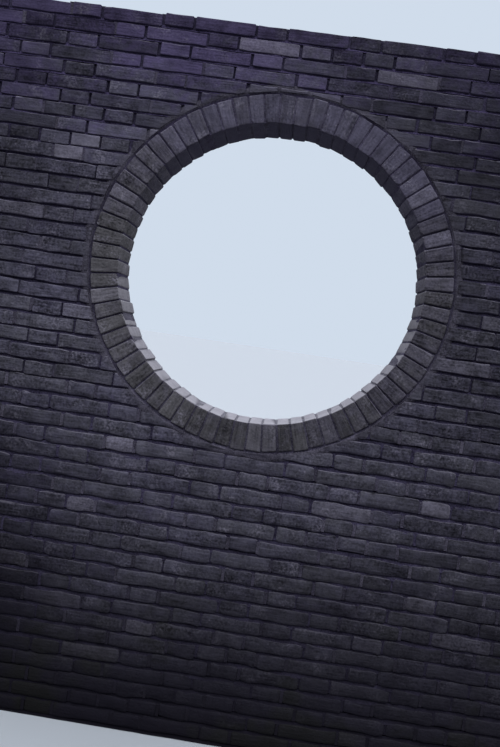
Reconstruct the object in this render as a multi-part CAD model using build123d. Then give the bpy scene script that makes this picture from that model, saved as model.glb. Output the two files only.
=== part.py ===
from build123d import *
import math
import os

# A free-standing garden wall of grey clay bricks, one brick thick, with a round moon window through it.
# The opening is framed by a ring of bricks set on edge, each one running right through the wall.
# Millimetres, +Z up. The origin is in the middle of the wall's foot, at ground level.
# The front of the wall looks towards -Y, and the wall runs along X.

# The brick
brick_length = 240.0
brick_width = 115.0
brick_height = 53.0

# The bond: a header and a stretcher in turn along every course, so the wall is one brick length thick
perpend = 10.0
bond_repeats = 10

# The lifts that the wall was raised in, each with its own bed of mortar under every course.
# The foot lift ends with the first course that reaches above the sill.
foot_bed = 14.0
middle_courses = 15
middle_bed = 10.0
top_bed = 6.0
courses_over_ring = 4

# How far the beds are raked back from the faces of the bricks
bed_rake = 9.0

# The ring round the opening
ring_clear_radius = 612.0
sill_height = 1346.0
ring_left_of_middle = 50.0
ring_bed = 12.0
ring_joint_recess = 3.0
least_ring_joint = 1.5
bricks_per_arc = 5

# The least brickwork between the ring's bed and the nearest course that runs on unbroken
least_cover = 5.0

# How far a cutting shape runs past the faces that it cuts
cut_overrun = 10.0

# The wall, from its bricks
wall_thickness = brick_length
wall_length = brick_length + bond_repeats * (brick_length + brick_width + 2 * perpend)
wall_left = -wall_length / 2
wall_right = wall_length / 2

# The ring, from its bricks: as many whole arcs as fit at the inner edge with a thin joint between bricks
ring_outer_radius = ring_clear_radius + brick_width
ring_bed_radius = ring_outer_radius + ring_bed
ring_x = -ring_left_of_middle
ring_z = sill_height + ring_clear_radius
ring_place = Pos(ring_x, 0, ring_z)
least_brick_turn = 2 * math.degrees(math.atan2((brick_height + least_ring_joint) / 2, ring_clear_radius))
arc_count = math.floor(360 / (least_brick_turn * bricks_per_arc))
brick_turn = 360 / (arc_count * bricks_per_arc)
crown_joint_turn = brick_turn / 2

# The heights of the lifts, and of the courses that pass just under and just over the ring
foot_pitch = brick_height + foot_bed
middle_pitch = brick_height + middle_bed
top_pitch = brick_height + top_bed
foot_top = foot_pitch * math.ceil(sill_height / foot_pitch)
middle_top = foot_top + middle_courses * middle_pitch
under_ring = foot_pitch * math.floor((ring_z - ring_bed_radius - least_cover) / foot_pitch)
over_ring = middle_top + top_pitch * math.ceil((ring_z + ring_bed_radius + least_cover - middle_top) / top_pitch)
wall_top = over_ring + courses_over_ring * top_pitch
last_bed = wall_top - top_pitch


def brickwork(x_from, x_to, z_from, z_to, bed):
    """Whole courses as thick as the wall, the bed under each one raked back at both faces."""
    face = wall_thickness / 2
    front = []
    for course in range(round((z_to - z_from) / (brick_height + bed))):
        bed_from = z_from + course * (brick_height + bed)
        bed_to = bed_from + bed
        front += [(face - bed_rake, bed_from), (face - bed_rake, bed_to)]
        front += [(face, bed_to), (face, bed_to + brick_height)]
    back = [(-y, z) for y, z in reversed(front)]
    section = make_face(Polyline(*front, *back, close=True))
    return extrude(Plane.YZ.offset(x_from) * section, x_to - x_from)


def ring_hole():
    """The round space that the ring and its bed of mortar take up in the wall."""
    drum = Cylinder(ring_bed_radius, wall_thickness + 2 * cut_overrun)
    return ring_place * Rot(90, 0, 0) * drum


def lift(name, z_from, z_to, bed):
    """The brickwork of one lift: whole courses clear of the ring, and a left and a right part beside it."""
    nodes = {}
    beside_from = max(z_from, min(under_ring, z_to))
    beside_to = min(z_to, max(over_ring, z_from))
    if beside_from > z_from:
        nodes[name + "_courses_under_ring"] = brickwork(wall_left, wall_right, z_from, beside_from, bed)
    if beside_to > beside_from:
        hole = ring_hole()
        nodes[name + "_courses_left"] = brickwork(wall_left, ring_x, beside_from, beside_to, bed) - hole
        nodes[name + "_courses_right"] = brickwork(ring_x, wall_right, beside_from, beside_to, bed) - hole
    if z_to > beside_to:
        nodes[name + "_courses_over_ring"] = brickwork(wall_left, wall_right, beside_to, z_to, bed)
    return nodes


def ring_brick(number):
    """One brick of the ring, on edge, its end showing at both faces and its side at the opening."""
    brick = Box(brick_height, wall_thickness, brick_width)
    outwards = Pos(0, 0, ring_clear_radius + brick_width / 2)
    return ring_place * Rot(0, crown_joint_turn + number * brick_turn, 0) * outwards * brick


def ring_arc(number):
    """Neighbouring bricks of the ring, with open joints between them."""
    first = number * bricks_per_arc
    return Compound(children=[ring_brick(first + step) for step in range(bricks_per_arc)])


def ring_mortar():
    """The tapered joints of the ring and the bed round it, one mass, a little back from the brick faces."""
    outline = Circle(ring_bed_radius) - Circle(ring_clear_radius + ring_joint_recess)
    for number in range(arc_count * bricks_per_arc):
        turn = Rot(0, 0, -crown_joint_turn - number * brick_turn)
        outline -= turn * Pos(0, ring_clear_radius + brick_width / 2) * Rectangle(brick_height, brick_width)
    half = wall_thickness / 2 - ring_joint_recess
    return ring_place * Rot(90, 0, 0) * extrude(outline, half, both=True)


pieces = {}
pieces.update(lift("foot", 0, foot_top, foot_bed))
pieces.update(lift("middle", foot_top, middle_top, middle_bed))
pieces.update(lift("top", middle_top, last_bed, top_bed))
pieces["uppermost_course"] = brickwork(wall_left, wall_right, last_bed, wall_top, top_bed)
for arc in range(arc_count):
    pieces["ring_arc_%02d" % (arc + 1)] = ring_arc(arc)
pieces["ring_mortar"] = ring_mortar()

os.makedirs("parts", exist_ok=True)
for piece_name, piece in pieces.items():
    export_step(piece, "parts/" + piece_name + ".step")
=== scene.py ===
import bpy
import math
import random
import numpy as np
from mathutils import Matrix, Vector, noise


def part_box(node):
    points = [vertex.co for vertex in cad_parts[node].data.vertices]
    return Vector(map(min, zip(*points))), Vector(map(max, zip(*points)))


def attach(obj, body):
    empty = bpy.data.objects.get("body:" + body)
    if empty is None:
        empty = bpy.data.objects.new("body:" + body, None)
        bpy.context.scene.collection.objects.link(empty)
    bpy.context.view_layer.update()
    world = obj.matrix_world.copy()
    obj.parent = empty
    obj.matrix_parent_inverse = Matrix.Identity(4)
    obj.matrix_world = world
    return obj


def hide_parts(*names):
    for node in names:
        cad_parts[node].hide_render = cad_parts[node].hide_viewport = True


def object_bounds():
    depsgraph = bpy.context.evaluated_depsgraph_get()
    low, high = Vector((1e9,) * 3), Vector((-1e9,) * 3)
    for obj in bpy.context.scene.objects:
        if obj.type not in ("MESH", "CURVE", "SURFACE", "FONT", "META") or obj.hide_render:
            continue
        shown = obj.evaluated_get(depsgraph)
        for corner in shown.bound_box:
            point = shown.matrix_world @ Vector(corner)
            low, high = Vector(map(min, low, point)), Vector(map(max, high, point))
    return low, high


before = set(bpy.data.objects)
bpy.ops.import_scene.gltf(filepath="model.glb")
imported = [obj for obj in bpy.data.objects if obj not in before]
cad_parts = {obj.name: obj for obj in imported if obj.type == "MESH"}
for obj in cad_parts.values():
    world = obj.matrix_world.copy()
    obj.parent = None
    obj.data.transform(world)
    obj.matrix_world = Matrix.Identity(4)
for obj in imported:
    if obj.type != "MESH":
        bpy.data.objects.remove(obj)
cad_low, cad_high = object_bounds()
chance = random.Random(11)


# The courses
# The wall was raised in three lifts of standard bricks, on thick beds of mortar at the foot and thin ones at
# the top. The lifts' heights come from the frame, and each course gets its height here, from the ground up.
brick_long = 0.240
brick_wide = 0.115
brick_high = 0.053
face = brick_long / 2
lifts = {
    "foot": {"bed": 0.014, "top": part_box("foot_courses_left")[1].z},
    "middle": {"bed": 0.010, "top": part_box("middle_courses_left")[1].z},
    "top": {"bed": 0.006, "top": cad_high.z},
}
courses = []
level = cad_low.z
for lift, facts in lifts.items():
    pitch = brick_high + facts["bed"]
    for _ in range(round((facts["top"] - level) / pitch)):
        courses.append({"lift": lift, "bed": facts["bed"], "from": level, "brick_from": level + facts["bed"]})
        level += pitch

# At some heights up the wall: how much too high a course lies, and how steeply it rises to the right
levelled_at = (0.0, 0.30, 0.8, 1.3, 1.5, 1.8, 2.4, 2.6, 2.94)
course_error = (0.0, 0.002, 0.0, -0.003, 0.0, 0.005, 0.006, 0.0, -0.004)
course_slope = (0.0, 0.018, 0.0, 0.0, 0.0, 0.0, 0.004, 0.009, 0.009)
slope_middle = -0.1
slope_reach = 1.3


def out_of_level(x, z):
    """How much higher than its true level a course was laid by eye, at a place along it."""
    slope = np.interp(z, levelled_at, course_slope)
    from_middle = np.clip(x - slope_middle, -slope_reach, slope_reach)
    return float(np.interp(z, levelled_at, course_error) + slope * from_middle)


# The bricks of the wall
# Grey fired clay, moulded one at a time, so no two match: arrises are rounded, faces wave and corners are
# knocked off. The lower a lift is, the more its bricks are worn. Each shape is made once and then copied.
brick_wear = {
    "foot": {"arris": 0.0050, "corner": 0.0130, "wave": 0.0060},
    "middle": {"arris": 0.0045, "corner": 0.0050, "wave": 0.0040},
    "top": {"arris": 0.0040, "corner": 0.0050, "wave": 0.0026},
}

# Shares of a brick's length where it is cut across, so that its edges can wave
stretcher_cuts = (-0.34, -0.12, 0.13, 0.36)
header_cuts = (-0.2, 0.15)

# A queen closer is a header cut in two lengthwise, less the joint between its halves
closer_long = 0.0525
brick_shapes = {
    "stretcher": {"size": (brick_long, brick_wide, brick_high), "crosscuts": stretcher_cuts, "moulds": 8},
    "header": {"size": (brick_wide, brick_long, brick_high), "crosscuts": header_cuts, "moulds": 7},
    "closer": {"size": (closer_long, brick_wide, brick_high), "crosscuts": (), "moulds": 2},
}

# An arris is an edge sharper than this angle. Faces are pitted and wavy, with so many waves to the metre.
arris_angle = 65
arris_fullness = 0.55
pitting = 0.0013
face_wave = 0.0020
waves_along = 19
waves_through = 4

# Places in the noise that keep the waves of the lower edges, the upper edges and the faces apart
edge_waves_at = 3
face_waves_at = Vector((0, 0, 9))

# A knocked-off corner takes up to this many widths of the worn arris
most_lost = 1.7
seeds_apart = 31


def select_none():
    bpy.ops.object.select_all(action="DESELECT")


def remember_grain(mesh):
    """Keeps each point's place in its own brick, which the clay's marks follow."""
    places = np.empty(len(mesh.vertices) * 3, np.float32)
    mesh.vertices.foreach_get("co", places)
    mesh.attributes.new("grain", "FLOAT_VECTOR", "POINT").data.foreach_set("vector", places)


def moulded_brick(size, crosscuts, wear, seed, corner_loss):
    """One brick about the origin, its face to -Y, with worn arrises, wavy edges and perhaps a corner gone."""
    select_none()
    bpy.ops.mesh.primitive_cube_add(size=1)
    bpy.ops.transform.resize(value=size)
    bpy.ops.object.transform_apply(location=False, rotation=False, scale=True)
    brick = bpy.context.object
    for edge in brick.data.edges:
        ends = [brick.data.vertices[number].co for number in edge.vertices]
        edge.select = abs(ends[0].y - ends[1].y) > size[1] / 2
    bpy.ops.object.mode_set(mode="EDIT")
    bpy.ops.mesh.select_mode(type="EDGE")
    bpy.ops.mesh.bevel(offset=wear["corner"], segments=2)
    for share in crosscuts:
        bpy.ops.mesh.select_all(action="SELECT")
        bpy.ops.mesh.bisect(plane_co=(share * size[0], 0, 0), plane_no=(1, 0, 0))
    bpy.ops.mesh.select_all(action="DESELECT")
    bpy.ops.mesh.edges_select_sharp(sharpness=math.radians(arris_angle))
    bpy.ops.mesh.bevel(offset=wear["arris"], segments=2, profile=arris_fullness)
    bpy.ops.mesh.select_all(action="SELECT")
    bpy.ops.transform.vertex_random(offset=pitting, seed=seed)
    bpy.ops.object.mode_set(mode="OBJECT")
    for vertex in brick.data.vertices:
        spot = Vector((vertex.co.x * waves_along + seed, vertex.co.y * waves_through, 0))
        spot.z = math.copysign(edge_waves_at, vertex.co.z)
        vertex.co.z += wear["wave"] * noise.noise(spot)
        vertex.co.y += face_wave * noise.noise(spot + face_waves_at)
    bpy.ops.object.mode_set(mode="EDIT")
    if corner_loss > wear["arris"]:
        corner_x = size[0] * chance.choice((-0.5, 0.5))
        corner_z = size[2] * chance.choice((-0.5, 0.5))
        corner = Vector((corner_x, -size[1] / 2, corner_z))
        slope = Vector((math.copysign(chance.uniform(0.5, 1.2), corner.x), -0.8, math.copysign(1, corner.z)))
        slope.normalize()
        break_at = corner - slope * corner_loss
        bpy.ops.mesh.select_all(action="SELECT")
        bpy.ops.mesh.bisect(plane_co=break_at, plane_no=slope, use_fill=True, clear_outer=True)
    bpy.ops.object.mode_set(mode="OBJECT")
    remember_grain(brick.data)
    return brick


moulds = {}
for lift, wear in brick_wear.items():
    for kind, shape in brick_shapes.items():
        for number in range(shape["moulds"]):
            loss = chance.uniform(0, most_lost) * wear["arris"]
            seed = len(moulds) * seeds_apart + number
            brick = moulded_brick(shape["size"], shape["crosscuts"], wear, seed, loss)
            moulds.setdefault((lift, kind), []).append(brick)


# Laying the bricks
# Along each course a header follows a stretcher, and a header stands over the middle of every stretcher.
# A queen closer beside the last header makes the bond come out at the ends. Stretchers are laid in pairs,
# one at each face, and here and there two headers take a stretcher's place.
perpend = 0.010
bond_repeats = 10
two_headers_share = 0.06

# How much longer and higher than its mould a brick is in each lift, and how much of that height is upwards
perpend_squeeze = {"foot": 0.0092, "middle": 0.0040, "top": 0.0004}
extra_height = {"foot": 0.0078, "middle": 0.0012, "top": -0.0030}
upwards = 0.6

# How far out of true a brick is: in its length, as a share of its height, in its turns about Z, Y and X,
# and in its place along X, Y and Z
length_error = 0.0016
height_error = 0.016
twist_error = 0.0035
lean_error = 0.0045
tilt_error = 0.010
slip_error = (0.0012, 0.0009, 0.0010)
half_turns = [Matrix.Identity(4)] + [Matrix.Rotation(math.pi, 4, axis) for axis in "XYZ"]

# The ring is a little wider than tall. The wall's bricks are cut this far out from its inner edge.
ring_low, ring_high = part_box("ring_mortar")
ring_middle = (ring_low + ring_high) / 2
ring_half_width = 0.622
ring_half_height = 0.604
ring_reach = brick_wide + 0.008
cut_error = 0.005
least_offcut = 0.012
steps_to_degree = 4


def bond_of(number_from_top):
    """The kinds of brick along a course, from the left end to the right."""
    if number_from_top % 2 == 0:
        return ["stretcher"] + ["header", "stretcher"] * bond_repeats
    between_closers = ["stretcher", "header"] * (bond_repeats - 1) + ["stretcher"]
    return ["header", "closer"] + between_closers + ["closer", "header"]


def ring_point(turn, out):
    """A place at the ring: a turn clockwise from the crown, and so far out from the ring's inner edge."""
    across = (ring_half_width + out) * math.sin(turn)
    return ring_middle + Vector((across, 0, (ring_half_height + out) * math.cos(turn)))


def ring_way(turn):
    """The way that leads straight out of the ring at a turn from the crown."""
    way = Vector((math.sin(turn) / ring_half_width, 0, math.cos(turn) / ring_half_height))
    return way.normalized()


def inside_ring(x, z, out):
    """Whether a place is inside the oval that lies so far out from the ring's inner edge."""
    across = (x - ring_middle.x) / (ring_half_width + out)
    return math.hypot(across, (z - ring_middle.z) / (ring_half_height + out)) < 1


trace_turns = [math.radians(step / steps_to_degree) for step in range(360 * steps_to_degree)]
ring_trace = [(turn, ring_point(turn, ring_reach)) for turn in trace_turns]


def ring_cut(low_x, high_x, low_z, high_z):
    """Where the ring cuts a brick, as a turn and a way, or None, or "gone" where nothing is left of it."""
    met = [turn for turn, spot in ring_trace if low_x < spot.x < high_x and low_z < spot.z < high_z]
    if not met:
        return "gone" if inside_ring((low_x + high_x) / 2, (low_z + high_z) / 2, ring_reach) else None
    if met[0] < math.pi / 2 and met[-1] > 3 * math.pi / 2:
        met = [turn - 2 * math.pi if turn > math.pi else turn for turn in met]
    turn = (min(met) + max(met)) / 2
    way = ring_way(turn)
    corner = Vector((high_x if way.x > 0 else low_x, 0, high_z if way.z > 0 else low_z))
    left_over = (corner - ring_point(turn, ring_reach)).dot(way)
    return (turn, way) if left_over > least_offcut else "gone"


def shade_by_chance(mesh):
    """Gives a whole brick three values of its own, which its clay is coloured by."""
    for name in ("tone", "tint", "lot"):
        value = chance.random()
        mesh.attributes.new(name, "FLOAT", "POINT").data.foreach_set("value", [value] * len(mesh.vertices))


def lay_brick(kind, lift, middle, cut):
    """Copies a mould to its place in the course, a little out of true, and cuts it where the ring is."""
    mould = chance.choice(moulds[(lift, kind)])
    brick = bpy.data.objects.new("brick", mould.data.copy())
    bpy.context.collection.objects.link(brick)
    longer = 1 + chance.gauss(perpend_squeeze[lift], length_error) / brick_shapes[kind]["size"][0]
    higher = chance.gauss(1 + extra_height[lift] / brick_high, height_error)
    twist = Matrix.Rotation(chance.gauss(0, twist_error), 4, "Z")
    lean = Matrix.Rotation(chance.gauss(0, lean_error), 4, "Y")
    tilt = Matrix.Rotation(chance.gauss(0, tilt_error), 4, "X")
    raised = extra_height[lift] * upwards
    slip = Vector([chance.gauss(mean, error) for mean, error in zip((0, 0, raised), slip_error)])
    sized = Matrix.Diagonal((longer, 1, higher, 1))
    turned = twist @ lean @ tilt @ sized @ chance.choice(half_turns)
    brick.data.transform(Matrix.Translation(middle + slip) @ turned)
    shade_by_chance(brick.data)
    if cut:
        turn, way = cut
        select_none()
        bpy.context.view_layer.objects.active = brick
        brick.select_set(True)
        bpy.ops.object.mode_set(mode="EDIT")
        bpy.ops.mesh.select_all(action="SELECT")
        edge = ring_point(turn, ring_reach + chance.uniform(0, cut_error))
        bpy.ops.mesh.bisect(plane_co=edge, plane_no=way, use_fill=True, clear_inner=True)
        bpy.ops.object.mode_set(mode="OBJECT")
    return brick


wall_nodes = [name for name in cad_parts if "course" in name]
level_slack = 0.001


def node_at(x, course):
    """The frame's piece that a part of a course belongs to: by its height, and by its side of the ring."""
    far_side = "_right" if x < ring_middle.x else "_left"
    for node in wall_nodes:
        low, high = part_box(node)
        if low.z - level_slack <= course["from"] < high.z - level_slack and not node.endswith(far_side):
            return node


laid = {node: [] for node in wall_nodes}
perpends = {node: [] for node in wall_nodes}
for number, course in enumerate(courses):
    kinds = bond_of(len(courses) - 1 - number)
    x = cad_low.x
    middle_z = course["brick_from"] + brick_high / 2
    while kinds:
        kind = kinds.pop(0)
        if kind == "stretcher" and 0 < len(kinds) < 2 * bond_repeats and chance.random() < two_headers_share:
            kind = "header"
            kinds.insert(0, "header")
        length = brick_shapes[kind]["size"][0]
        node = node_at(x + length / 2, course)
        cut = ring_cut(x, x + length, course["brick_from"], course["brick_from"] + brick_high)
        if cut != "gone":
            depth = brick_shapes[kind]["size"][1]
            rows = (0,) if kind == "header" else (depth / 2 - face, face - depth / 2)
            for y in rows:
                middle = Vector((x + length / 2, y, middle_z + out_of_level(x, middle_z)))
                laid[node].append(lay_brick(kind, course["lift"], middle, cut))
        if kinds:
            perpends[node].append((x + length + perpend / 2, course))
        x += length + perpend


def joined(name, parts, edge_angle, material):
    """Makes one piece of many, smooths all but its sharp edges and gives it its material."""
    select_none()
    for part in parts:
        part.select_set(True)
    bpy.context.view_layer.objects.active = parts[0]
    bpy.ops.object.join()
    piece = bpy.context.object
    piece.name = name
    piece.data.name = name
    bpy.ops.object.shade_smooth_by_angle(angle=math.radians(edge_angle))
    flatter = piece.modifiers.new("flatter", "WEIGHTED_NORMAL")
    flatter.keep_sharp = True
    bpy.ops.object.modifier_apply(modifier=flatter.name)
    piece.data.materials.clear()
    piece.data.materials.append(material)
    return piece


class Sock:
    """A socket of a material's nodes. Arithmetic on it adds Math nodes, and node() adds any other node."""

    def __init__(self, tree, link=None):
        self.tree = tree
        self.link = link

    def node(self, kind, settings, sockets, out=0):
        """Adds a node with its settings and its sockets' values or links, and gives one of its outputs."""
        made = self.tree.nodes.new("ShaderNode" + kind)
        for name, value in settings.items():
            setattr(made, name, value)
        for name, value in sockets.items():
            if isinstance(value, Sock):
                self.tree.links.new(value.link, made.inputs[name])
            else:
                made.inputs[name].default_value = value
        return Sock(self.tree, made.outputs[out])

    def maths(self, operation, second, first=None):
        return self.node("Math", {"operation": operation}, {0: self if first is None else first, 1: second})

    def __add__(self, other):
        return self.maths("ADD", other)

    def __sub__(self, other):
        return self.maths("SUBTRACT", other)

    def __rsub__(self, other):
        return self.maths("SUBTRACT", self, other)

    def __mul__(self, other):
        return self.maths("MULTIPLY", other)

    __radd__ = __add__
    __rmul__ = __mul__

    def between(self, low, high):
        """0 below low, 1 above high, with a soft step from one to the other."""
        span = {"From Min": low, "From Max": high, "To Min": 0.0, "To Max": 1.0}
        return self.node("MapRange", {"interpolation_type": "SMOOTHSTEP"}, {"Value": self, **span})

    def blend(self, first, second):
        """The first colour where this is 0, the second where it is 1, and a mix of both between."""
        return self.node("Mix", {"data_type": "RGBA"}, {0: self, 6: first, 7: second}, 2)

    def mixed(self, other, share):
        """This colour with a share of another."""
        return share.blend(self, other)

    def scaled(self, strength):
        """A colour or vector times a number."""
        return self.node("VectorMath", {"operation": "SCALE"}, {0: self, "Scale": strength})

    def vector(self, operation, other, out=0):
        """This vector with another, by one of the operations on vectors."""
        return self.node("VectorMath", {"operation": operation}, {0: self, 1: other}, out)

    def length(self):
        """How long this vector is."""
        return self.node("VectorMath", {"operation": "LENGTH"}, {0: self}, "Value")

    def part(self, axis):
        """One of this vector's three numbers."""
        return self.node("SeparateXYZ", {}, {0: self}, "XYZ".index(axis))

    def stored(self, name, out="Fac"):
        """What the mesh holds under a name at each of its points."""
        return self.node("Attribute", {"attribute_name": name}, {}, out)

    def speckle(self, where, scale, detail=2.0, stretch=(1, 1, 1)):
        """Cloudy noise of so many cells to the metre."""
        place = self.node("Mapping", {}, {"Vector": where, "Scale": stretch})
        return self.node("TexNoise", {}, {"Vector": place, "Scale": scale, "Detail": detail})


def new_surface(name):
    """A material with its shader, and a Sock to build on."""
    material = bpy.data.materials.new(name)
    material.use_nodes = True
    tree = material.node_tree
    return material, tree.nodes["Principled BSDF"], Sock(tree)


# The damp, and the shade painted with it, would be complete below the first of these heights, and are gone
# above the second
damp_and_shade_low = -0.15
damp_and_shade_high = 1.35

# Batches of paler or darker bricks, each about a place on the wall: X, Z and how much paler it is
batches = [
    (-0.80, 2.56, 0.32),
    (0.90, 2.60, -0.26),
    (-1.12, 2.12, -0.12),
    (0.00, 1.12, -0.12),
    (-1.10, 1.70, 0.27),
    (-0.98, 0.45, -0.22),
]
batch_core = 0.05
batch_reach = 0.42


def smear_by_ring(place, clouds):
    """1 beside the ring, where mortar was rubbed over the bricks' cut ends, and 0 a hand's breadth away."""
    spread = (1 / (ring_half_width + brick_wide), 0, 1 / (ring_half_height + brick_wide))
    away = place.vector("SUBTRACT", ring_middle).vector("MULTIPLY", spread).length()
    return 1.0 - (away + 0.10 * (clouds - 0.5)).between(1.020, 1.055)


def wall_weather(s, place, up, low_left, hue):
    """The hue of the wall's bricks, most violet near the top, and how pale they are by place: painted light,
    palest about the opening and darker towards the ends, the top and the lower left, with batches of paler or
    darker bricks.
    """
    across = place.part("X")
    height = place.part("Z")
    uneven = 0.45 + 0.5 * height.between(1.6, 2.4)
    hue = hue + uneven * (s.speckle(place, 3.4, 2.0) - 0.5)
    open_sky = 1.0 - 0.42 * across.between(-0.4, 0.5) - 0.5 * up.between(0.9, 0.99)
    hue = hue + 0.22 + 0.60 * height.between(2.3, 2.95) * open_sky
    hue = hue + 0.2 * low_left
    # Painted light: the wall is painted paler about the opening, and darker towards its ends, its top, its
    # lower left and its right
    palest_at = (-0.22, 0, 1.60)
    far = place.vector("SUBTRACT", palest_at).vector("MULTIPLY", (1, 0, 0.70)).length()
    paler_and_painted_light = 1.25 - 0.44 * far.between(0.45, 1.25)
    paler_and_painted_light = paler_and_painted_light - 0.38 * low_left - 0.07 * across.between(0.2, 0.8) * height.between(1.2, 1.8)
    paler_and_painted_light = paler_and_painted_light - 0.05 * across.between(-0.5, 0.1) * height.between(2.2, 2.6)
    flat = place.vector("MULTIPLY", (1, 0, 1))
    for x, z, paler in batches:
        near = flat.vector("DISTANCE", (x, 0, z), "Value")
        paler_and_painted_light = paler_and_painted_light + paler * (1.0 - near.between(batch_core, batch_reach))
    return hue, paler_and_painted_light


def ring_weather(place, hue):
    """The same for the ring's bricks: most violet at the crown, and paler at the crown and on the left,
    partly painted light.
    """
    across = place.part("X")
    height = place.part("Z")
    hue = hue + 0.28 * across.between(-0.8, 0.5) + 0.55 * height.between(1.95, 2.5)
    # Paleness by place, partly painted light
    paler_and_painted_light = 1.23 + 0.06 * height.between(1.9, 2.4) - 0.12 * across.between(-0.7, -0.1)
    paler_and_painted_light = paler_and_painted_light - 0.10 * across.between(0.0, 0.6)
    paler_and_painted_light = paler_and_painted_light - 0.17 * (1.0 - height.between(1.27, 1.45)) * across.between(-0.5, -0.2)
    paler_and_painted_light = paler_and_painted_light + 0.08 * (1.0 - height.between(1.5, 1.9)) * (1.0 - across.between(-0.5, -0.25))
    return hue, paler_and_painted_light


def fired_clay(name, shades, comb_stretch, in_ring):
    """Grey clay: each brick has its own shade, comb marks, clouds, lime flecks and pits, with light and shade
    painted over it. The foot is darker, partly damp and partly painted shade.
    """
    material, shader, s = new_surface(name)
    place = s.node("TexCoord", {}, {}, "Object")
    across = place.part("X")
    height = place.part("Z")
    up = s.node("NewGeometry", {}, {}, "Normal").part("Z")
    tone = s.stored("tone")
    tint = s.stored("tint")
    lot = s.stored("lot")
    grain = s.stored("grain", "Vector")
    away = s.node("CombineXYZ", {}, {0: lot * 31.0, 1: lot * 17.0, 2: tone * 23.0})
    own = grain.vector("ADD", away)
    clouds = s.speckle(own, 20.0, 3.0)
    stains = s.speckle(own, 34.0, 2.0)
    comb = s.speckle(own, 46.0, 4.0, comb_stretch)
    grit = s.speckle(own, 115.0, 6.0)
    flecks = s.speckle(own, 85.0, 5.0).between(0.62, 0.74)
    patches = s.speckle(place, 2.2, 3.0)
    low_left = (1.0 - across.between(-1.1, -0.5)) * (1.0 - height.between(1.1, 1.5))
    middle_lift = height.between(1.2, 1.5) * (1.0 - height.between(2.2, 2.5))
    hue = 0.25 * tint + 0.6 * (stains - 0.5)
    if in_ring:
        hue, paler_and_painted_light = ring_weather(place, hue)
        rougher = 0.5 * middle_lift
        apart = 0.36
        pale_ones = 0.3
    else:
        hue, paler_and_painted_light = wall_weather(s, place, up, low_left, hue)
        rougher = middle_lift + 0.6 * (1.0 - height.between(1.2, 1.5))
        apart = 0.36 + 0.40 * height.between(2.2, 2.5)
        pale_ones = 0.55

    # Greys from neutral to violet, a few bricks paler than the rest, and lime in a bloom and in flecks
    clay = hue.between(0.10, 0.60).blend(shades["grey"], shades["slate"])
    clay = clay.mixed(shades["violet"], hue.between(0.50, 0.95))
    clay = clay.mixed(shades["lime"], tone.between(0.90, 1.0) * pale_ones)
    bloom = s.speckle(own, 11.0, 5.0).between(0.52, 0.74) * grit.between(0.40, 0.65)
    clay = clay.mixed(shades["lime"], 0.8 * flecks * lot.between(0.1, 0.9) + 0.7 * bloom)
    marks = (1.2 + 0.5 * rougher) * (clouds - 0.5 + comb - 0.5)
    marks = marks + (0.5 + 1.2 * lot + 1.0 * rougher) * (grit - 0.5)
    shade = (0.99 + (tone - 0.5) * apart + marks + 0.7 * (patches - 0.5)).maths("MAXIMUM", 0.25)
    if not in_ring:
        rubbed_mortar = (0.049, 0.0475, 0.065, 1)
        clay = clay.mixed(rubbed_mortar, smear_by_ring(place, clouds) * 0.8)
    # Each brick's shade, times its paleness by place, which is partly painted light
    clay = clay.scaled(shade * paler_and_painted_light)

    # In the opening painted shade on the soffit and a sill paled by wear and painted light; elsewhere dust
    # and painted highlights on ledges, painted shade on undersides
    dust_and_highlight = up.between(0.25, 0.65) * (1.0 - up.between(0.93, 0.99)) * stains.between(0.30, 0.55)
    if in_ring:
        inner_side = -brick_wide / 2
        inner = 1.0 - grain.part("Z").between(inner_side + 0.001, inner_side + 0.004)
        # The downward soffit is darkened with painted shade
        soffit_painted_shade = (0.041, 0.0375, 0.066, 1)
        clay = clay.mixed(soffit_painted_shade, inner * (0.8 - 0.8 * up.between(-0.9, -0.35)))
        # The sill and the lower sides of the opening are paled, partly by wear and partly by painted light
        # from the sky
        bleached_and_painted_light = up.between(0.8, 0.98).blend((0.245, 0.245, 0.285, 1), (0.255, 0.255, 0.295, 1))
        clay = clay.mixed(bleached_and_painted_light, inner * up.between(-0.22, 0.74) * (0.58 + 0.55 * clouds))
        dust_and_highlight = dust_and_highlight * (1.0 - inner)
    # Pale dust on the upper arrises, partly a painted highlight
    pale_dust_and_highlight = (0.150, 0.1450, 0.190, 1)
    clay = clay.mixed(pale_dust_and_highlight, dust_and_highlight * (0.15 + 0.42 * height.between(0.2, 0.9)))
    if not in_ring:
        # Undersides darkened with painted shade
        underside_shade = (0.025, 0.0210, 0.047, 1)
        painted_under_shade = 1.0 - up.between(-0.6, -0.1)
        clay = clay.mixed(underside_shade, painted_under_shade * (0.40 + 0.25 * height.between(1.1, 1.4)))

    # Darker towards the ground, partly damp and partly painted shade, a little greener where algae grow
    damp_and_painted_shade = 1.0 - (height + 0.3 * (patches - 0.5) - 0.10 * low_left).between(damp_and_shade_low, damp_and_shade_high)
    algae = s.speckle(place, 3.1, 4.0).between(0.50, 0.62)
    wet_and_shaded = algae.blend((0.0078, 0.0072, 0.0116, 1), (0.0082, 0.0083, 0.0088, 1))
    clay = clay.mixed(wet_and_shaded, damp_and_painted_shade)

    relief = 0.6 * clouds + 0.5 * comb + 0.8 * grit
    bump = s.node("Bump", {}, {"Strength": 0.9, "Distance": 0.0034, "Height": relief})
    rough = 0.85 + 0.25 * (grit - 0.5) - 0.1 * damp_and_painted_shade
    s.tree.links.new(clay.link, shader.inputs["Base Color"])
    s.tree.links.new(rough.link, shader.inputs["Roughness"])
    s.tree.links.new(bump.link, shader.inputs["Normal"])
    shader.inputs["Specular IOR Level"].default_value = 0.03
    return material


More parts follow.
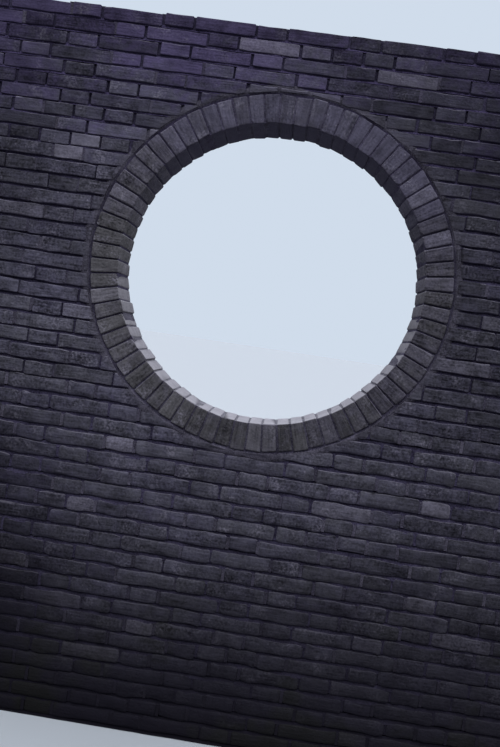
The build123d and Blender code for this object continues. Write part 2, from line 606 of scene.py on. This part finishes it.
wall_shades = {
    "grey": (0.046, 0.0460, 0.060, 1),
    "slate": (0.045, 0.0440, 0.066, 1),
    "violet": (0.049, 0.0415, 0.087, 1),
    "lime": (0.107, 0.1030, 0.136, 1),
}
wall_clay = fired_clay("wall_clay", wall_shades, comb_stretch=(0.25, 1.0, 3.0), in_ring=False)
brick_edge_angle = 35
for node, bricks in laid.items():
    piece = joined("bricks_" + node, bricks, brick_edge_angle, wall_clay)
    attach(piece, "root")
    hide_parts(node)


# The mortar of the wall
# Lime mortar with ash in it, as dark as the bricks. The beds are raked back and slope in under the brick
# above. The upright joints are full, some nearly flush and some open, so they show much less than the beds.
bed_lap = 0.003
bed_link = 0.045
bed_end = ring_reach + 0.006

# How far a bed is raked back from the wall's face: at its lower edge, at its upper edge, and how unevenly
bed_lip = 0.0050
bed_depth = {"foot": 0.0120, "middle": 0.0115, "top": 0.0080}
bed_waver = {"foot": 0.0035, "middle": 0.0035, "top": 0.0050}
bed_curve = 0.6
least_rake = 0.001
end_rake = 0.004

# An upright joint laps into the bricks beside it, and is raked back by one of these depths at each face
plug_lap = {"foot": 0.003, "middle": 0.008, "top": 0.010}
plug_high = brick_high - 0.005
plug_crosscuts = (-0.2, 0.2)
plug_waver = 0.0012
plug_end = ring_reach + 0.012
perpend_depths = {
    "foot": (0.0006, 0.0008, 0.0012, 0.0035, 0.0060),
    "middle": (0.0008, 0.0012, 0.0022, 0.0045, 0.0080),
    "top": (0.0020, 0.0050, 0.0085, 0.0110, 0.0140),
}
nearly_flush = 0.0025


def mortar_surface():
    """Dark gritty mortar, of the clay's own grey where it is smeared flush, and paled on the sill by wear and
    by painted light.
    """
    material, shader, s = new_surface("ash_mortar")
    place = s.node("TexCoord", {}, {}, "Object")
    height = place.part("Z")
    up = s.node("NewGeometry", {}, {}, "Normal").part("Z")
    clouds = s.speckle(place, 14.0, 3.0)
    grit = s.speckle(place, 170.0, 3.0)

    # Up to 1 where mortar is smeared flush, 0 in the beds, and -1 in the open upright joints, which stay dark
    flush = s.stored("flush")
    ash = clouds.blend((0.021, 0.0190, 0.039, 1), (0.038, 0.0345, 0.061, 1))
    violet_ash = (0.043, 0.0365, 0.079, 1)
    ash = ash.mixed(violet_ash, height.between(2.2, 2.6) * (1.0 + flush))
    ash = ash.scaled(1.2 - 0.2 * height.between(1.0, 1.4))
    smear = clouds.blend((0.042, 0.040, 0.057, 1), (0.058, 0.0555, 0.077, 1))
    smear = smear.scaled(0.72 + 0.5 * height.between(0.1, 1.2) - 0.22 * height.between(1.3, 1.5))
    ash = ash.mixed(smear, flush)
    # On the sill the mortar is paled, partly by wear and partly by painted light
    bleached_and_painted_light = (0.11, 0.11, 0.135, 1)
    ash = ash.mixed(bleached_and_painted_light, s.stored("inside") * up.between(0.1, 0.9))
    ash = ash.scaled((1.0 + 2.6 * (grit - 0.5) + 1.6 * (clouds - 0.5)).maths("MAXIMUM", 0.25))
    # Darker towards the ground, partly damp and partly painted shade
    damp_and_painted_shade = 1.0 - (height + 0.3 * (clouds - 0.5)).between(damp_and_shade_low, damp_and_shade_high)
    wet_and_shaded = (0.0078, 0.0073, 0.0112, 1)
    ash = ash.mixed(wet_and_shaded, damp_and_painted_shade)

    bump = s.node("Bump", {}, {"Strength": 0.8, "Distance": 0.0012, "Height": grit + 0.5 * clouds})
    s.tree.links.new(ash.link, shader.inputs["Base Color"])
    s.tree.links.new(bump.link, shader.inputs["Normal"])
    shader.inputs["Roughness"].default_value = 0.95
    shader.inputs["Specular IOR Level"].default_value = 0.03
    return material


ash_mortar = mortar_surface()


def mortar_strip(length, depth, height):
    """A bed as long as the wall, cut across into short links, its front and back split along the middle."""
    select_none()
    bpy.ops.mesh.primitive_cube_add(size=1)
    strip = bpy.context.object
    links = round(length / bed_link)
    bpy.ops.transform.resize(value=(length / links, depth, height))
    bpy.ops.object.transform_apply(location=False, rotation=False, scale=True)
    bpy.ops.object.mode_set(mode="EDIT")
    bpy.ops.mesh.select_all(action="SELECT")
    bpy.ops.mesh.bisect(plane_co=(0, 0, 0), plane_no=(0, 0, 1))
    bpy.ops.mesh.select_mode(type="FACE")
    bpy.ops.mesh.select_all(action="DESELECT")
    bpy.ops.object.mode_set(mode="OBJECT")
    for polygon in strip.data.polygons:
        polygon.select = abs(polygon.normal.x) > 0.9
    bpy.ops.object.mode_set(mode="EDIT")
    bpy.ops.mesh.delete(type="FACE")
    bpy.ops.object.mode_set(mode="OBJECT")
    row = strip.modifiers.new("row", "ARRAY")
    row.count = links
    row.use_merge_vertices = True
    row.merge_threshold = 0.0001
    bpy.ops.object.modifier_apply(modifier=row.name)
    bpy.ops.object.mode_set(mode="EDIT")
    bpy.ops.mesh.select_all(action="SELECT")
    bpy.ops.mesh.fill_holes(sides=0)
    bpy.ops.object.mode_set(mode="OBJECT")
    strip.data.transform(Matrix.Translation((length / links / 2, 0, 0)))
    return strip


def wavering(x, z, side):
    """How unevenly a bed was raked: a broad wave of up to 1 either way, and a fine one of half that."""
    broad = noise.noise(Vector((x * 9, z * 40, side * 7.3)))
    return broad + 0.5 * noise.noise(Vector((x * 34, z * 60, side * 3.1)))


def lay_bed(course, x_from, x_to):
    """Beds one stretch of a course, sloped in from the brick below to the one above, and never quite even."""
    height = course["bed"] + 2 * bed_lap
    bed = bpy.data.objects.new("bed", strips[course["lift"]].data.copy())
    bpy.context.collection.objects.link(bed)
    bed.data.transform(Matrix.Translation((cad_low.x, 0, course["from"] + course["bed"] / 2)))
    select_none()
    bpy.context.view_layer.objects.active = bed
    bed.select_set(True)
    bpy.ops.object.mode_set(mode="EDIT")
    for edge, way in ((x_from, -1), (x_to, 1)):
        if cad_low.x < edge < cad_high.x:
            bpy.ops.mesh.select_all(action="SELECT")
            bpy.ops.mesh.bisect(plane_co=(edge, 0, 0), plane_no=(way, 0, 0), use_fill=True, clear_outer=True)
    bpy.ops.object.mode_set(mode="OBJECT")
    low = course["from"] - bed_lap
    for vertex in bed.data.vertices:
        side = math.copysign(1, vertex.co.y)
        share = max(0.0, (vertex.co.z - low) / height)
        depth = bed_lip + (bed_depth[course["lift"]] - bed_lip) * share ** bed_curve
        depth += bed_waver[course["lift"]] * wavering(vertex.co.x, vertex.co.z, side)
        vertex.co.y = side * (face - max(depth, least_rake))
        vertex.co.z += out_of_level(vertex.co.x, course["from"])
        if vertex.co.x in (cad_low.x, cad_high.x):
            vertex.co.x -= math.copysign(end_rake, vertex.co.x)
    return bed


strips = {}
for lift, facts in lifts.items():
    strips[lift] = mortar_strip(cad_high.x - cad_low.x, brick_long, facts["bed"] + 2 * bed_lap)

beds = {node: [] for node in wall_nodes}
for course in courses:
    rise = (course["from"] + course["bed"] / 2 - ring_middle.z) / (ring_half_height + bed_end)
    stretches = [(cad_low.x, cad_high.x)]
    if abs(rise) < 1:
        half = math.sqrt(1 - rise ** 2) * (ring_half_width + bed_end)
        stretches = [(cad_low.x, ring_middle.x - half), (ring_middle.x + half, cad_high.x)]
    for x_from, x_to in stretches:
        node = node_at((x_from + x_to) / 2, course)
        beds[node].append(lay_bed(course, x_from, x_to))
for strip in strips.values():
    bpy.data.objects.remove(strip)

select_none()
bpy.ops.mesh.primitive_cube_add(size=1)
plug = bpy.context.object
bpy.ops.object.mode_set(mode="EDIT")
for share in plug_crosscuts:
    bpy.ops.mesh.select_all(action="SELECT")
    bpy.ops.mesh.bisect(plane_co=(0, 0, share), plane_no=(0, 0, 1))
bpy.ops.object.mode_set(mode="OBJECT")


def fill_perpend(x, z, lift):
    """Fills the upright joint at a place. Its front and its back are raked to depths of their own."""
    fill = bpy.data.objects.new("perpend", plug.data.copy())
    bpy.context.collection.objects.link(fill)
    fill.data.transform(Matrix.Diagonal((perpend + plug_lap[lift], brick_long, plug_high, 1)))
    raked = {side: chance.choice(perpend_depths[lift]) for side in (-1, 1)}
    smeared = chance.uniform(0.6, 1.0)
    flush = []
    for vertex in fill.data.vertices:
        side = math.copysign(1, vertex.co.y)
        vertex.co.y = side * (face - raked[side] - chance.uniform(0, plug_waver))
        flush.append(smeared if raked[side] < nearly_flush else -1.0)
    fill.data.attributes.new("flush", "FLOAT", "POINT").data.foreach_set("value", flush)
    z += extra_height[lift] * upwards + out_of_level(x, z)
    fill.data.transform(Matrix.Translation((x, 0, z)))
    return fill


for node, places in perpends.items():
    for x, course in places:
        z = course["brick_from"] + brick_high / 2
        if not inside_ring(x, z, plug_end):
            beds[node].append(fill_perpend(x, z, course["lift"]))
bpy.data.objects.remove(plug)

mortar_edge_angle = 60
for node, parts in beds.items():
    piece = joined("mortar_" + node, parts, mortar_edge_angle, ash_mortar)
    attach(piece, "root")
    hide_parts(node)


# The ring's bricks
# Seventy bricks on edge round the opening, their ends in the wall's faces. Each runs through the wall and is
# rubbed to a slight taper. They were laid by eye over a round centring, so their inner edges step in and out
# by a millimetre or two. Those at the ring's sides are a little narrower than those over and under it.
ring_arcs = sorted(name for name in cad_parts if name.startswith("ring_arc"))
bricks_per_arc = 5
ring_pitch = 2 * math.pi / (len(ring_arcs) * bricks_per_arc)
ring_wear = {"arris": 0.0042, "corner": 0.0065, "wave": 0.0045}
ring_mould_count = 8
ring_first_seed = 500
ring_most_lost = 0.011
ring_widened = 1.07
ring_taper = 0.09
ring_narrowed = 0.055
ring_slip = 0.0015
ring_skew = 0.004
ring_proud = 0.0009

ring_moulds = []
for number in range(ring_mould_count):
    loss = chance.uniform(0, ring_most_lost)
    mould = moulded_brick((brick_high, brick_long, brick_wide), (), ring_wear, ring_first_seed + number, loss)
    for vertex in mould.data.vertices:
        vertex.co.x *= ring_widened + ring_taper * vertex.co.z / (brick_wide / 2)
    ring_moulds.append(mould)


def lay_ring_brick(turn):
    """Stands a brick on the ring at a turn from the crown, either end to the front."""
    brick = bpy.data.objects.new("brick", chance.choice(ring_moulds).data.copy())
    bpy.context.collection.objects.link(brick)
    slip = chance.gauss(0, ring_slip)
    skew = Matrix.Rotation(chance.gauss(0, ring_skew), 4, "Y")
    skew = skew @ Matrix.Rotation(chance.choice((0, math.pi)), 4, "Z")
    proud = Vector((0, chance.gauss(0, ring_proud), 0))
    way = ring_way(turn)
    stood = Matrix.Rotation(math.atan2(way.x, way.z), 4, "Y") @ skew
    narrower = Matrix.Diagonal((1 - ring_narrowed * way.x ** 2, 1, 1, 1))
    middle = ring_point(turn, brick_wide / 2 + slip) + proud
    brick.data.transform(Matrix.Translation(middle) @ stood @ narrower)
    shade_by_chance(brick.data)
    return brick


ring_shades = {
    "grey": (0.056, 0.0555, 0.063, 1),
    "slate": (0.056, 0.0540, 0.074, 1),
    "violet": (0.056, 0.0540, 0.082, 1),
    "lime": (0.115, 0.1120, 0.145, 1),
}
ring_clay = fired_clay("ring_clay", ring_shades, comb_stretch=(3.0, 1.0, 0.25), in_ring=True)
for number, arc in enumerate(ring_arcs):
    turns = [(number * bricks_per_arc + step + 0.5) * ring_pitch for step in range(bricks_per_arc)]
    bricks = [lay_ring_brick(turn) for turn in turns]
    piece = joined("bricks_" + arc, bricks, brick_edge_angle, ring_clay)
    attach(piece, "root")
    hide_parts(arc)
for mould in ring_moulds + [brick for group in moulds.values() for brick in group]:
    bpy.data.objects.remove(mould)


# The ring's mortar
# One mass fills the tapered joints and beds the ring in the wall. A thin groove is left round the ring, and
# outside it the mortar is smeared flush over the cut ends of the wall's bricks, in a band of uneven width.
joint_recess = 0.0032
groove_depth = 0.008
steps_to_brick = 4
collar_steps = len(ring_arcs) * bricks_per_arc * steps_to_brick
collar_edge_angle = 50

# How far out from the ring's inner edge its parts lie
inside_to = 0.010
joints_to = brick_wide - 0.005
smear_from = brick_wide + 0.005
band_from = brick_wide + 0.015

# How uneven the band, the groove and the faces are, and how much deeper the joints are at the ring's sides
band_waver = 0.020
edge_waver = 0.005
groove_waver = 0.004
face_waver = 0.0012
side_recess = 0.0060

# The section of the front half: how far out from the ring's inner edge, and how far from the wall's middle
profile = [
    (0.0035, 0.0),
    (0.0035, face - joint_recess),
    (brick_wide - 0.012, face - joint_recess),
    (brick_wide - 0.003, face - groove_depth),
    (brick_wide + 0.004, face - groove_depth),
    (brick_wide + 0.009, face - 0.0028),
    (brick_wide + 0.020, face - 0.0022),
    (brick_wide + 0.030, face - 0.0045),
    (brick_wide + 0.042, face - 0.0140),
    (brick_wide + 0.052, 0.0),
]
outline = profile + [(out, -y) for out, y in reversed(profile[1:-1])]
select_none()
bpy.ops.mesh.primitive_circle_add(vertices=len(outline), radius=1)
collar = bpy.context.object
for vertex, (out, y) in zip(collar.data.vertices, outline):
    vertex.co = ring_middle + Vector((ring_half_width + out, y, 0))
bpy.ops.object.mode_set(mode="EDIT")
bpy.ops.mesh.select_all(action="SELECT")
bpy.ops.mesh.spin(steps=collar_steps, angle=2 * math.pi, center=ring_middle, axis=(0, 1, 0))
bpy.ops.mesh.select_all(action="SELECT")
bpy.ops.mesh.remove_doubles(threshold=0.0002)
bpy.ops.mesh.normals_make_consistent(inside=False)
bpy.ops.object.mode_set(mode="OBJECT")
flush = []
inside = []
for vertex in collar.data.vertices:
    spot = vertex.co - ring_middle
    out = math.hypot(spot.x, spot.z) - ring_half_width
    side = math.copysign(1, spot.y)
    turn = math.atan2(spot.x, spot.z)
    way = ring_way(turn)
    broad = noise.noise(Vector((way.x * 5, side * 4.0, way.z * 5)))
    fine = noise.noise(Vector((way.x * 26, side * 9.0 + out * 30, way.z * 26)))
    spread = band_waver * broad + edge_waver * fine if out > band_from else groove_waver * fine
    vertex.co = ring_point(turn, out + spread) + Vector((0, spot.y, 0))
    if abs(spot.y) > face / 2:
        vertex.co.y += side * face_waver * fine
        if out < joints_to:
            vertex.co.y -= side * side_recess * way.x ** 2
    if out > smear_from:
        flush.append(1.0)
    else:
        flush.append(0.7 * way.z ** 2 if out < joints_to else 0.35)
    inside.append(1.0 if out < inside_to else 0.0)
collar.data.attributes.new("flush", "FLOAT", "POINT").data.foreach_set("value", flush)
collar.data.attributes.new("inside", "FLOAT", "POINT").data.foreach_set("value", inside)
collar.name = "ring_bedding"
collar.data.materials.append(ash_mortar)
select_none()
collar.select_set(True)
bpy.ops.object.shade_smooth_by_angle(angle=math.radians(collar_edge_angle))
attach(collar, "root")
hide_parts("ring_mortar")


# The floor, the light and the camera
# A pale floor and background, and the broad light of a cloudy sky, from high in front and high behind. The
# camera stands where the photographer did, 3.2 m from the wall and tilted.
def soft_sun(name, away, strength, spread):
    """A sun as wide as a stretch of cloudy sky, its light coming from the way that is given."""
    light = bpy.data.lights.new(name, "SUN")
    light.energy = strength
    light.angle = math.radians(spread)
    lamp = bpy.data.objects.new(name, light)
    bpy.context.collection.objects.link(lamp)
    lamp.rotation_euler = Vector(away).to_track_quat("Z", "Y").to_euler()


def straight_rays(s):
    """1 where the background is seen, also in a shine or through something clear, and 0 for its light."""
    kinds = ("Is Camera Ray", "Is Glossy Ray", "Is Transmission Ray")
    rays = [s.node("LightPath", {}, {}, kind) for kind in kinds]
    return rays[0] + rays[1] + rays[2]


soft_sun("front_left_sky", (-1.0, -1.0, 1.9), 2.0, 60)
soft_sun("front_right_sky", (0.8, -1.0, 1.9), 2.1, 60)
soft_sun("back_left_sky", (-1.1, 0.8, 1.3), 1.8, 70)
soft_sun("back_right_sky", (1.0, 0.8, 1.3), 2.2, 70)

floor_lit = (0.14, 0.14, 0.14, 1)
floor_seen = (0.30, 0.33, 0.37, 1)
select_none()
bpy.ops.mesh.primitive_plane_add(size=300, location=(0, 0, 0))
floor = bpy.context.object
floor.name = "floor"
material, shader, s = new_surface("pale_floor")
floor_shade = straight_rays(s).blend(floor_lit, floor_seen)
s.tree.links.new(floor_shade.link, shader.inputs["Base Color"])
shader.inputs["Roughness"].default_value = 0.9
shader.inputs["Specular IOR Level"].default_value = 0.0
floor.data.materials.append(material)

sky_lit = (0.15, 0.15, 0.205, 1)
sky_seen = (0.63, 0.715, 0.83, 1)
world = bpy.data.worlds.new("sky")
bpy.context.scene.world = world
world.use_nodes = True
s = Sock(world.node_tree)
sky = straight_rays(s).blend(sky_lit, sky_seen)
s.tree.links.new(sky.link, world.node_tree.nodes["Background"].inputs["Color"])

focal_px = 794.2
photo_long_side = 747
yaw, pitch, roll = (math.radians(angle) for angle in (-2.196, -2.599, 8.470))
camera_from_ring = Vector((0.0993, -3.2135, -0.2603))
ahead = Vector((math.sin(yaw) * math.cos(pitch), math.cos(yaw) * math.cos(pitch), math.sin(pitch)))
level_right = Vector((math.cos(yaw), -math.sin(yaw), 0))
upright = level_right.cross(ahead)
right = level_right * math.cos(roll) + upright * math.sin(roll)
up = upright * math.cos(roll) - level_right * math.sin(roll)
lens = bpy.data.cameras.new("camera")
lens.sensor_width = 36
lens.lens = focal_px / photo_long_side * lens.sensor_width
camera = bpy.data.objects.new("camera", lens)
bpy.context.collection.objects.link(camera)
axes = Matrix((right, up, -ahead)).transposed().to_4x4()
camera.matrix_world = Matrix.Translation(ring_middle + Vector((0, -face, 0)) + camera_from_ring) @ axes
bpy.context.scene.camera = camera
bpy.context.scene.view_settings.view_transform = "Standard"
